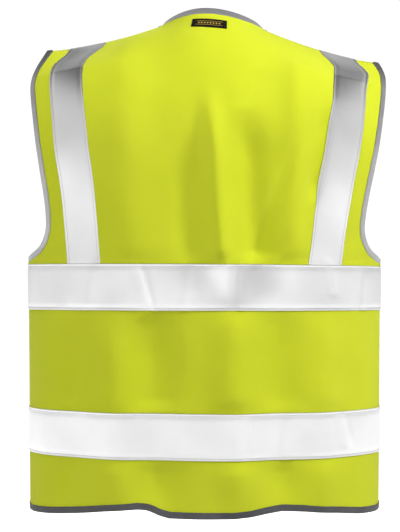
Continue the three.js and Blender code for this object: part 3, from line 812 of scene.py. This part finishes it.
def mesh_object(name, points, faces, uv, material):
    mesh = bpy.data.meshes.new(name)
    mesh.from_pydata([tuple(p) for p in points], [], faces)
    layer = mesh.uv_layers.new(name="cloth")
    corners = np.empty(len(mesh.loops), int)
    mesh.loops.foreach_get("vertex_index", corners)
    layer.data.foreach_set("uv", np.asarray(uv, float)[corners].ravel())
    mesh.polygons.foreach_set("use_smooth", [True] * len(mesh.polygons))
    mesh.materials.append(material)
    mesh.update()
    made = new_object(name, mesh)
    if signed_volume(points, faces) < 0:
        mesh.flip_normals()
    return made


def signed_volume(points, faces):
    p = np.asarray(points)
    total = 0.0
    for size in {len(f) for f in faces}:
        f = np.array([g for g in faces if len(g) == size])
        for k in range(1, size - 1):
            total += np.einsum("ij,ij->i", p[f[:, 0]], np.cross(p[f[:, k]], p[f[:, k + 1]])).sum()
    return total


def slab(name, outer, inner, uv, material):
    """Closed sheet between two grids of points."""
    rows, columns = outer.shape[:2]
    count = rows * columns
    index = np.arange(count).reshape(rows, columns)
    a, b, c, d = index[:-1, :-1], index[1:, :-1], index[1:, 1:], index[:-1, 1:]
    quads = np.stack([a, b, c, d], -1).reshape(-1, 4)
    faces = [*quads.tolist(), *(quads[:, ::-1] + count).tolist()]
    rim = [*index[:, 0], *index[-1, 1:], *index[-2::-1, -1], *index[0, -2:0:-1]]
    for k, p in enumerate(rim):
        q = rim[(k + 1) % len(rim)]
        faces.append([q, p, p + count, q + count])
    points = np.concatenate([outer.reshape(-1, 3), inner.reshape(-1, 3)])
    flat = uv.reshape(-1, 2)
    return mesh_object(name, points, faces, np.concatenate([flat, flat]), material)


def ring_sweep(name, rings, uv, material):
    """Closed body through rings of points, with its ends capped."""
    stations, size = rings.shape[:2]
    index = np.arange(stations * size).reshape(stations, size)
    following = np.roll(index, -1, axis=1)
    quads = np.stack([index[:-1], following[:-1], following[1:], index[1:]], -1).reshape(-1, 4)
    faces = [*quads.tolist(), index[0][::-1].tolist(), index[-1].tolist()]
    return mesh_object(name, rings.reshape(-1, 3), faces, uv.reshape(-1, 2), material)


def finish_piece(piece, body, replaces=()):
    """Rides the piece on its body, but a piece of either front stays in place with its transform baked
    into its mesh.
    """
    if body.startswith("front"):
        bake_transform(piece)
    else:
        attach(piece, body)
    if replaces:
        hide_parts(*replaces)
    return piece


# ================================================================ panels and tapes

def panel(drape, name, body):
    rows = np.arange(drape.rows)[:, None]
    columns = np.arange(drape.columns)[None, :]
    outer, inner = drape.two_faces(rows, columns, KNIT)
    uv = np.stack([drape.across, drape.along], -1)
    made = slab(f"{name}_cloth", outer, inner, uv, MATERIALS["knit"])
    return finish_piece(made, body, [name])


# ---- pressed creases of the stiff tape, in the same form as the folds ----
CREASE_STRENGTH = 1.3
CREASES = [
    (0.091, -0.322, 0.070, -0.395, 0.0045, -0.0016),
    (0.083, -0.322, 0.062, -0.395, 0.0045, 0.0012),
    (-0.037, -0.325, -0.036, -0.395, 0.0045, -0.0013),
    (-0.046, -0.325, -0.046, -0.395, 0.0045, 0.0010),
    (-0.160, -0.322, -0.168, -0.368, 0.0045, -0.0014),
    (-0.205, -0.330, -0.199, -0.390, 0.0050, -0.0014),
    (-0.214, -0.330, -0.210, -0.390, 0.0050, 0.0010),
    (0.020, -0.325, 0.026, -0.390, 0.0080, 0.0010),
    (0.140, -0.325, 0.150, -0.390, 0.0070, 0.0009),
    (0.192, -0.325, 0.186, -0.390, 0.0060, -0.0010),
    (0.086, -0.512, 0.078, -0.590, 0.0045, -0.0014),
    (0.074, -0.512, 0.084, -0.570, 0.0045, -0.0010),
    (-0.052, -0.512, -0.054, -0.590, 0.0045, -0.0013),
    (-0.172, -0.512, -0.182, -0.565, 0.0045, -0.0014),
    (-0.181, -0.512, -0.192, -0.565, 0.0045, 0.0010),
    (-0.110, -0.515, -0.104, -0.585, 0.0070, 0.0010),
    (0.160, -0.515, 0.156, -0.585, 0.0060, -0.0009),
]

TAPE_STEP = 0.0025
BAND_PUFF = 0.0005
BRACE_PUFF = 0.0004
SEAM_INSET = 0.0030             # stitched line inside each edge of a tape
NEAR_EDGE = [0, 0.0010, 0.0020, 0.0026, 0.0034, 0.0044, 0.0058, 0.0078]
LIP = 0.6                       # height of a tape's lips, as a share of its puff


def tape_steps(width):
    """Distances across a tape from one edge, close together near both edges."""
    middle = np.arange(NEAR_EDGE[-1] + TAPE_STEP, width - NEAR_EDGE[-1] - TAPE_STEP / 2, TAPE_STEP)
    return np.concatenate([NEAR_EDGE, middle, width - np.array(NEAR_EDGE[::-1])])


def tape_profile(across, width):
    """Height of a tape between 0 and 1: lips at its edges, sunk at its two seams, full between them."""
    edge = np.minimum(across, width - across)
    lip = LIP * (1 - rise(edge, 0.0012, SEAM_INSET))
    return np.maximum(lip, rise(edge, SEAM_INSET, 0.0085))


def raised_height(drape, row, column, rounded):
    """Height of a tape above its resting layer: the puff between its seams plus its creases."""
    base = drape.lay(row, column, np.zeros(np.shape(row)))
    x = base[..., 0] if drape.facing > 0 else 1.1 * base[..., 0] + 0.02
    creases = CREASE_STRENGTH * sum(fold(x, base[..., 2], line) for line in CREASES)
    return rounded + np.maximum(creases, -0.25 * MM - 0.5 * rounded)


def tape(drape, name, body, place, layer, rounded, uv):
    """A tape of reflective cloth at rows and columns of the drape, raised between its two seams."""
    row, column = np.broadcast_arrays(*place)
    raised = raised_height(drape, row, column, rounded)
    outer, inner = drape.two_faces(row, column, layer, raised)
    made = slab(f"{name}_tape", outer, inner, uv, MATERIALS["tape"])
    finish_piece(made, body, [name])


def half_columns(drape):
    """Every column of the drape and the places half-way between."""
    return np.arange(drape.columns * 2 - 1) / 2


def band(drape, name, body, span):
    width = span[0] - span[1]
    down = tape_steps(width)
    levels = span[0] - down
    row, column = np.broadcast_arrays(row_at(levels)[:, None], half_columns(drape)[None, :])
    rounded = BAND_PUFF * tape_profile(down, width)[:, None] * np.ones(row.shape)
    across = drape.sample(drape.across[..., None], row, column)[..., 0]
    uv = np.stack(np.broadcast_arrays(across, levels[:, None]), -1)
    tape(drape, name, body, (row, column), BAND, rounded, uv)
    for level in (span[0] - SEAM_INSET, span[1] + SEAM_INSET):
        sew_on_tape(drape, body, row_at(level), half_columns(drape), BAND)


def brace_edges(level):
    """Distances of a brace's two edges from the centre, half a tape each side of its middle."""
    top = np.maximum(level, CHEST_BAND[0])
    wide = full_half_width(top)
    middle = np.arcsin(brace_centre(top) / wide)
    roll = np.cos(QUARTER * roll_at(top))
    stretch = np.hypot(wide * np.cos(middle), HALF_DEPTH * roll * np.sin(middle))
    half = BRACE_WIDTH / 2 / stretch
    return [full_half_width(level) * np.sin(middle + k * half) for k in (-1, 1)]


BRACE_TUCK = 0.008              # how far a brace runs on under the chest band


def brace(drape, name, body, side):
    levels = np.linspace(0, CHEST_BAND[0] - BRACE_TUCK, 150)
    inner_edge, outer_edge = brace_edges(levels)
    across = tape_steps(BRACE_WIDTH)
    share = across / BRACE_WIDTH
    x = inner_edge[:, None] + (outer_edge - inner_edge)[:, None] * share
    place = drape.grid_place(side * x, np.repeat(levels[:, None], len(share), 1))
    rounded = BRACE_PUFF * tape_profile(across, BRACE_WIDTH)[None, :] * np.ones(x.shape)
    uv = np.stack(np.broadcast_arrays((share - 0.5) * BRACE_WIDTH, levels[:, None]), -1)
    tape(drape, name, body, place, BRACE, rounded, uv)
    levels = np.linspace(0, CHEST_BAND[0], 120)
    inner_edge, outer_edge = brace_edges(levels)
    for x in (inner_edge + SEAM_INSET, outer_edge - SEAM_INSET):
        sew_on_tape(drape, body, *drape.grid_place(side * x, levels), BRACE)


def sew_on_tape(drape, body, row, column, layer):
    row, column = np.broadcast_arrays(row, column)
    height = layer[1] + 0.10 * MM + raised_height(drape, row, column, 0.0)
    sew(body, "tape", drape.lay(row, column, height))


# ================================================================ bindings

BINDING_GAP = 0.25 * MM
BINDING_CLOTH = 0.45 * MM


def resample(places, points, step):
    """Even steps along a line of (row, column) places, given with the matching points."""
    length = run_length(points)
    even = np.linspace(0, length[-1], max(int(round(length[-1] / step)), 2) + 1)
    return np.stack([np.interp(even, length, places[:, k]) for k in (0, 1)], 1), even


def run_length(points):
    """Distance of each point from the first, along the line."""
    return np.concatenate([[0], np.cumsum(np.linalg.norm(np.diff(points, axis=0), axis=1))])


def edge_frame(drape, places, inward):
    """Points of an edge of the cloth, with the directions into the cloth and out of it."""
    row, column = places.T
    points = drape.lay(row, column, 0.0)
    normals = unit(drape.sample(drape.normals, row, column))
    along = np.gradient(points, axis=0)
    for _ in range(3):
        along[1:-1] = (along[:-2] + 2 * along[1:-1] + along[2:]) / 4
    into = unit(np.cross(unit(along), normals))
    into *= np.sign(np.einsum("ij,ij->i", into, inward(points)))[:, None]
    return points, into, normals


def binding_section():
    """Half-way line of the folded strip: (distance into the cloth, height), fold rounded."""
    outside = KNIT[1] + BINDING_GAP + BINDING_CLOTH / 2
    inside = KNIT[0] - BINDING_GAP - BINDING_CLOTH / 2
    middle, radius = (outside + inside) / 2, (outside - inside) / 2
    flat = [BINDING_WIDTH * k for k in (1, 0.85, 0.6, 0.35, 0.1)]
    turn = [QUARTER + math.pi * k / 6 for k in range(7)]
    arc = [(-0.2 * MM + radius * math.cos(a), middle + radius * math.sin(a)) for a in turn]
    return [(d, outside) for d in flat] + arc + [(d, inside) for d in flat[::-1]]


def binding_ring():
    """Closed outline of the folded strip: (distance into the cloth, height)."""
    section = np.array(binding_section())
    tangent = unit(np.gradient(section, axis=0))
    out = np.stack([-tangent[:, 1], tangent[:, 0]], 1) * BINDING_CLOTH / 2
    ring = np.concatenate([section + out, (section - out)[::-1]])
    return ring[::-1] if ring[0, 1] < ring[-1, 1] else ring


BINDING_STEP = 0.0022
PUCKER_WIDTH = 0.035            # share of the strip's width by which its edge wanders
PUCKER_LIFT = 0.22 * MM
STITCH_INSET = 0.0014           # stitches from the strip's inner edge


def binding(drape, name, body, kind, places, inward, pucker=1.0, trim=0):
    """A strip folded round an edge of the cloth, with its stitches; trim shortens their line."""
    places, length = resample(places, drape.lay(*places.T, 0.0), BINDING_STEP)
    points, into, normals = edge_frame(drape, places, inward)
    ring = binding_ring()
    across, high = ring.T
    wobble = np.sin(length * 900) * 0.5 + np.sin(length * 1433 + 1.0) * 0.3 + np.sin(length * 310) * 0.5
    depth = across * (1 + PUCKER_WIDTH * pucker * wobble)[:, None]
    lift = PUCKER_LIFT * pucker * wobble[:, None] * np.clip(across / BINDING_WIDTH, 0, 1)
    height = high + np.maximum(lift * np.sign(high), -0.1 * MM)
    rings = points[:, None] + into[:, None] * depth[..., None] + normals[:, None] * height[..., None]
    uv = np.stack(np.broadcast_arrays(length[:, None], run_length(ring)), -1)
    made = ring_sweep(f"{name}_strip", rings, uv, MATERIALS[kind])
    finish_piece(made, body, [name])
    outside = KNIT[1] + BINDING_GAP + BINDING_CLOTH + 0.05 * MM
    line = points + into * (BINDING_WIDTH - STITCH_INSET) + normals * outside
    sew(body, kind, line[trim:len(line) - trim])


def column_path(rows, column):
    return np.stack(np.broadcast_arrays(rows, float(column)), 1)


def row_path(row, columns):
    return np.stack(np.broadcast_arrays(float(row), columns), 1)


def towards(x, z):
    """Answers the same direction for every point of an edge."""
    return lambda points: np.tile([float(x), 0.0, float(z)], (len(points), 1))


def to_body(points):
    """Into the panel from an armhole: towards the centre and down."""
    return np.stack(np.broadcast_arrays(-points[:, 0], 0.0, -CHEST_HALF_WIDTH), 1)


# ================================================================ stitches and teeth

def open_row(name, inputs):
    """A geometry tree for things set along a curve, with its inputs, its output and their points."""
    inputs = {"Geometry": ("Geometry", None), **inputs, "Material": ("Material", None)}
    s, given, out = open_tree(name, "GeometryNodeTree", inputs, {"Geometry": "Geometry"})
    curve = {"Curve": given["Geometry"], "Length": given["Pitch"]}
    points = s.node("GeometryNodeResampleCurve", curve, mode="LENGTH").outputs[0]
    return s, given, out, points


def close_row(s, given, out, real):
    paint = {"Geometry": real, "Material": given["Material"]}
    s.fill(out, {0: s.node("GeometryNodeSetMaterial", paint).outputs[0]})
    return s.tree


def make_stitch_tree():
    """Stitches along a curve: each a small bead of thread, sunk at both ends."""
    inputs = {"Pitch": ("Float", 0.003), "Thread": ("Float", 0.0003), "Fill": ("Float", 0.8)}
    s, given, out, points = open_row("row_of_stitches", inputs)
    bead = s.node("GeometryNodeMeshUVSphere", {"Segments": 6, "Rings": 4, "Radius": 1.0})
    tangent = s.node("GeometryNodeInputTangent")
    turn = s.node("FunctionNodeAlignEulerToVector", {"Vector": tangent.outputs[0]}, axis="X")
    long = s.math("MULTIPLY", s.math("MULTIPLY", given["Pitch"], given["Fill"]), 0.5)
    size = s.node("ShaderNodeCombineXYZ", {0: long, 1: given["Thread"], 2: given["Thread"]})
    placed = s.node("GeometryNodeInstanceOnPoints", {
        "Points": points,
        "Instance": bead.outputs[0],
        "Rotation": turn.outputs[0],
        "Scale": size.outputs[0],
    })
    real = s.node("GeometryNodeRealizeInstances", {0: placed.outputs[0]})
    smooth = s.node("GeometryNodeSetShadeSmooth", {0: real.outputs[0]})
    return close_row(s, given, out, smooth.outputs[0])


def make_teeth_tree():
    """Moulded zip teeth along a curve: a foot clamped on the cord and a narrower head."""
    s, given, out, points = open_row("zip_teeth", {
        "Pitch": ("Float", 0.0023),
        "Foot": ("Vector", None),
        "Head": ("Vector", None),
        "Head Shift": ("Vector", None),
    })
    foot, head = (s.node("GeometryNodeMeshCube", {"Size": given[key]}) for key in ("Foot", "Head"))
    shift = {"Geometry": head.outputs[0], "Translation": given["Head Shift"]}
    moved = s.node("GeometryNodeTransform", shift)
    tooth = s.node("GeometryNodeJoinGeometry")
    for part in (foot, moved):
        s.put(tooth.inputs[0], part.outputs[0])
    placed = s.node("GeometryNodeInstanceOnPoints", {"Points": points, "Instance": tooth.outputs[0]})
    real = s.node("GeometryNodeRealizeInstances", {0: placed.outputs[0]})
    return close_row(s, given, out, real.outputs[0])


def curve_object(name, lines):
    data = bpy.data.curves.new(name, "CURVE")
    data.dimensions = "3D"
    for line in lines:
        spline = data.splines.new("POLY")
        spline.points.add(len(line) - 1)
        spline.points.foreach_set("co", np.concatenate([line, np.ones((len(line), 1))], 1).ravel())
    return new_object(name, data)


def plain_mesh(made):
    """The mesh of an object with its modifiers worked out."""
    graph = bpy.context.evaluated_depsgraph_get()
    return bpy.data.meshes.new_from_object(made.evaluated_get(graph), depsgraph=graph)


def grow(name, lines, tree, values):
    """Runs a geometry tree on lines and returns the result as a plain mesh object."""
    source = curve_object(f"{name}_line", lines)
    modifier = source.modifiers.new("grow", "NODES")
    modifier.node_group = tree
    sockets = {i.name: i.identifier for i in tree.interface.items_tree if i.in_out == "INPUT"}
    for key, value in values.items():
        modifier[sockets[key]] = value
    mesh = plain_mesh(source)
    bpy.data.objects.remove(source)
    return new_object(name, mesh)


SEWING = {}


def sew(body, kind, line):
    """Notes a line of stitches; every line of one body and thread becomes one piece."""
    SEWING.setdefault((body, kind), []).append(np.asarray(line))


THREADS = {                     # kind: slot, pitch, half thickness
    "tape": ("reflective_tape", 0.0030, 0.00026),
    "edge": ("edge_binding", 0.0028, 0.00026),
    "hem": ("hem_binding", 0.0028, 0.00026),
    "yellow": ("yellow_knit", 0.0030, 0.00026),
    "label": ("neck_label", 0.0016, 0.00016),
}
STITCH_FILL = 0.82              # length of a stitch as a share of the pitch


def make_sewing():
    for (body, kind), lines in SEWING.items():
        slot, pitch, thread = THREADS[kind]
        material = MATERIALS[f"thread_{kind}"]
        values = {"Pitch": pitch, "Thread": thread, "Fill": STITCH_FILL, "Material": material}
        finish_piece(grow(f"stitches_{kind}_{body}", lines, STITCH_TREE, values), body)


# ================================================================ labels

LABEL_HALF_WIDTH = 0.0250
LABEL_ROWS = 17
LABEL_COLUMNS = 33


def label_patch(drape, node, layer, kind, box):
    """A label laid on the back between distances x and levels; returns its places on the drape."""
    (x0, x1), (top, bottom) = box
    x, level = np.meshgrid(np.linspace(x0, x1, LABEL_COLUMNS), np.linspace(top, bottom, LABEL_ROWS))
    row, column = drape.grid_place(x, level)
    outer, inner = drape.two_faces(row, column, layer)
    middle = LABEL_COLUMNS // 2
    height = np.linalg.norm(outer[-1, middle] - outer[0, middle])
    down = np.linspace(height / 2, -height / 2, LABEL_ROWS)[:, None]
    uv = np.stack(np.broadcast_arrays(x - (x0 + x1) / 2, down), -1)
    made = slab(f"{node}_patch", outer, inner, uv, MATERIALS[kind])
    finish_piece(made, "back", [node])
    return row, column


def make_labels(drape):
    wide = (-LABEL_HALF_WIDTH, LABEL_HALF_WIDTH)
    row, column = label_patch(drape, "neck_label", LABEL, "neck_label", (wide, (-0.0185, -0.0335)))
    for j in (2, -3):
        sew("back", "label", drape.lay(row[:, j], column[:, j], LABEL[1] + 0.1 * MM))
    label_patch(drape, "size_label", INNER_LABEL, "inner_label", (wide, (-0.019, -0.062)))
    low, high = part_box("care_label")
    label_patch(drape, "care_label", INNER_LABEL, "inner_label", ((low.x, 0.2385), (high.z, low.z)))


# ================================================================ zip

WELD = 0.02 * MM
ROUNDING = 0.35 * MM
ZIP_TAPE_EDGE = 0.0022          # how far the tape's cord stands towards the chain
ZIP_TAPE_CLOTH = 0.0004
CHAIN_SHIFT = 0.0005            # teeth from the middle of the chain, towards its own tape
TEETH = {"Pitch": 0.0023, "Foot": (0.0022, 0.0026, 0.0011), "Head": (0.0011, 0.0017, 0.0013)}
HEAD_SHIFT = 0.0014


def hard_piece(node, suffix, body, slot):
    """A merged copy of a small hard CAD piece, with its edges rounded."""
    made = new_object(f"{node}_{suffix}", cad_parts[node].data.copy())
    weld = made.modifiers.new("weld", "WELD")
    weld.merge_threshold = WELD
    flat = made.modifiers.new("flat", "DECIMATE")
    flat.decimate_type = "DISSOLVE"
    flat.angle_limit = math.radians(3)
    bevel = made.modifiers.new("round", "BEVEL")
    bevel.width = ROUNDING
    bevel.segments = 3
    bevel.limit_method = "ANGLE"
    bevel.angle_limit = math.radians(30)
    mesh = plain_mesh(made)
    made.modifiers.clear()
    made.data = mesh
    mesh.polygons.foreach_set("use_smooth", [True] * len(mesh.polygons))
    mesh.materials.clear()
    mesh.materials.append(MATERIALS[slot])
    finish_piece(made, body, [node])


def zip_tape(side, body):
    """Woven strip beside the chain, a little raised over the edge of the front."""
    node = f"zip_tape_{side}"
    low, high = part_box(node)
    sign = SIDES[side]
    near, far = (low.x, high.x) if sign > 0 else (high.x, low.x)
    x = np.linspace(near - sign * ZIP_TAPE_EDGE, far, 15)
    z = np.linspace(high.z, low.z, 160)[:, None]
    y = -HALF_DEPTH + 0.15 * MM + np.maximum((np.abs(x) - FRONT_EDGE) * 0.06, 0)
    faces = [np.stack(np.broadcast_arrays(x, y + depth, z), -1) for depth in (0.0, ZIP_TAPE_CLOTH)]
    uv = np.stack(np.broadcast_arrays(x, z), -1)
    finish_piece(slab(f"{node}_weave", *faces, uv, MATERIALS["zip_tape"]), body, [node])


def zip_chain(side, body):
    node = f"zip_chain_{side}"
    low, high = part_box(node)
    middle = (low + high) / 2
    x = middle.x + SIDES[side] * CHAIN_SHIFT
    line = np.array([(x, middle.y, low.z), (x, middle.y, high.z)])
    shift = (-SIDES[side] * HEAD_SHIFT, 0.0, 0.0)
    values = {**TEETH, "Head Shift": shift, "Material": MATERIALS["zip_plastic"]}
    finish_piece(grow(f"{node}_teeth", [line], TEETH_TREE, values), body, [node])


def make_zip():
    for side in SIDES:
        body = f"front_{side}"
        zip_tape(side, body)
        zip_chain(side, body)
        hard_piece(f"zip_top_stop_{side}", "moulding", body, "zip_plastic")
    hard_piece("zip_box", "casting", "front_left", "zip_plastic")
    hard_piece("zip_pin", "casting", "front_right", "zip_plastic")
    for node in ("zip_slider", "zip_puller"):
        hard_piece(node, "casting", node, "zip_metal")


# ================================================================ assembly

SIDES = {"left": 1, "right": -1}
ARM_ROWS = np.arange(0, np.searchsorted(-LEVELS, UNDERARM_DROP - 1e-9) + 1)
NECK_ROW = np.searchsorted(-LEVELS, V_NECK_DROP)


def make_back():
    drape = Drape(1)
    cloth = panel(drape, "back_panel", "back")
    last = drape.columns - 1
    for name, span in (("chest", CHEST_BAND), ("waist", WAIST_BAND)):
        band(drape, f"{name}_band_back", "back", span)
    for side, column in (("left", last), ("right", 0)):
        brace(drape, f"brace_back_{side}", "back", SIDES[side])
        armhole = column_path(ARM_ROWS, column)
        binding(drape, f"armhole_binding_back_{side}", "back", "edge", armhole, to_body)
    neck = row_path(0, np.arange(BACK_STEPS, last - BACK_STEPS + 1))
    binding(drape, "neck_binding_back", "back", "edge", neck, towards(0, -1), 0.5)
    hem = row_path(drape.rows - 1, np.arange(0, last + 1))
    binding(drape, "hem_binding_back", "back", "hem", hem, towards(0, 1), 0.5)
    make_labels(drape)
    return cloth


def make_front(side):
    sign = SIDES[side]
    body = f"front_{side}"
    drape = Drape(-1, sign)
    cloth = panel(drape, f"front_panel_{side}", body)
    last = drape.columns - 1
    inner, outer = (0, last) if sign > 0 else (last, 0)
    for name, span in (("chest", CHEST_BAND), ("waist", WAIST_BAND)):
        band(drape, f"{name}_band_front_{side}", body, span)
    brace(drape, f"brace_front_{side}", body, sign)
    armhole = column_path(ARM_ROWS, outer)
    binding(drape, f"armhole_binding_front_{side}", body, "edge", armhole, to_body)
    neck = column_path(np.arange(0, NECK_ROW + 1), inner)
    binding(drape, f"neck_binding_front_{side}", body, "edge", neck, towards(sign, 0), 0.5)
    hem = row_path(drape.rows - 1, np.arange(0, last + 1))
    binding(drape, f"hem_binding_front_{side}", body, "hem", hem, towards(0, 1), 0.5, trim=2)
    edge_rows = np.arange(NECK_ROW + 2, drape.rows - 3)
    sew(body, "yellow", drape.lay(edge_rows, inner + sign * 0.9, KNIT[1] + 0.05 * MM))
    return cloth


GROUPS = {"weave": make_weave_group(), "knit": make_knit_group(), "shade": make_shade_group()}
MATERIALS = {
    "knit": knit_material(),
    "tape": tape_material(),
    "edge": woven_material(
        "edge_binding", (0.50, 0.50, 0.51), (0.60, 0.60, 0.61), rough=(0.3, 0.42), metal=0.88, sheen=0.0,
    ),
    # painted shade: the hem binding is the same grey strip as the edge binding, painted far darker for
    # the shade the downward-facing hem lies in
    "hem": woven_material("hem_binding", (0.075, 0.075, 0.08), (0.12, 0.12, 0.125)),
    "neck_label": label_material(),
    "inner_label": woven_material(
        "inner_label", (0.78, 0.78, 0.76), (0.86, 0.86, 0.84), pitch=0.0003, rough=(0.35, 0.5),
    ),
    "zip_tape": woven_material("zip_tape", (0.05, 0.05, 0.055), (0.08, 0.08, 0.085)),
    "zip_metal": metal_material(),
    "zip_plastic": plastic_material(),
    "thread_tape": thread_material("thread_grey", (0.34, 0.34, 0.35)),
    "thread_edge": thread_material("thread_mid_grey", (0.30, 0.30, 0.31)),
    # painted shade: the hem's stitches are darkened to match the hem binding's painted shade
    "thread_hem": thread_material("thread_hem_painted_dark", (0.08, 0.08, 0.085)),
    "thread_yellow": thread_material("thread_yellow", (0.58, 0.68, 0.04)),
    "thread_label": thread_material("thread_black", (0.02, 0.02, 0.02)),
}
STITCH_TREE = make_stitch_tree()
TEETH_TREE = make_teeth_tree()

make_studio()
back = make_back()
fronts = [make_front(side) for side in SIDES]
make_zip()
make_sewing()
